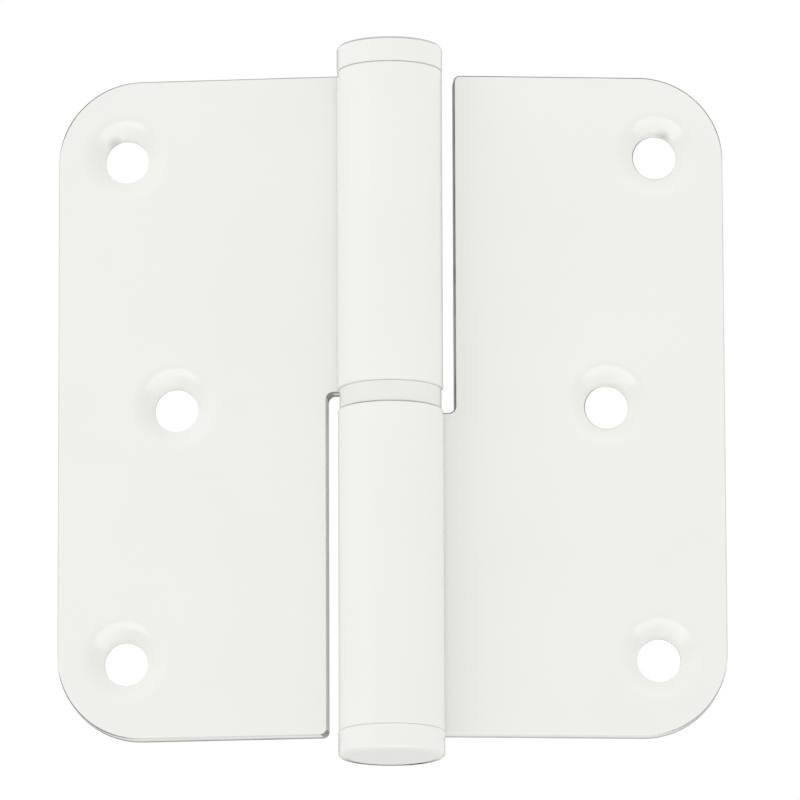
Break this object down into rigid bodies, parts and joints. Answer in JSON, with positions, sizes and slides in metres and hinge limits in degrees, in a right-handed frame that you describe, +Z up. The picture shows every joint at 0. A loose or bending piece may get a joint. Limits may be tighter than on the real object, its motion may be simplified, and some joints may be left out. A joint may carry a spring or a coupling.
{
  "type": "paumelle hinge",
  "caption": "Lift-off paumelle hinge with round-cornered countersunk leaves, rolled knuckles on a fixed pin, a bearing ring and end caps, painted white.",
  "frame": {"origin": "on the pin's axis, at the middle of the hinge's height", "axes": "+Z up along the pin, +X out along the frame leaf, +Y out of the frame leaf's mounting face"},
  "size_m": [0.0792, 0.0167, 0.086],
  "materials": {
    "white_paint": "white powder coat on steel, semi-gloss",
    "bright_steel": "turned bright steel, lightly greased"
  },
  "bodies": {
    "frame": {"frame_leaf": "white_paint", "hinge_pin": "bright_steel", "bottom_cap": "white_paint"},
    "ring": {"bearing_ring": "white_paint"},
    "door": {"door_leaf": "white_paint", "top_cap": "white_paint"}
  },
  "joints": [
    {"name": "swing", "type": "hinge", "parent": "frame", "child": "ring", "pos_m": [0, 0, 0], "axis": [0, 0, 1], "range_deg": [-115, 190]},
    {"name": "lift_off", "type": "slide", "parent": "ring", "child": "door", "axis": [0, 0, 1], "range_m": [0, 0.04]}
  ]
}
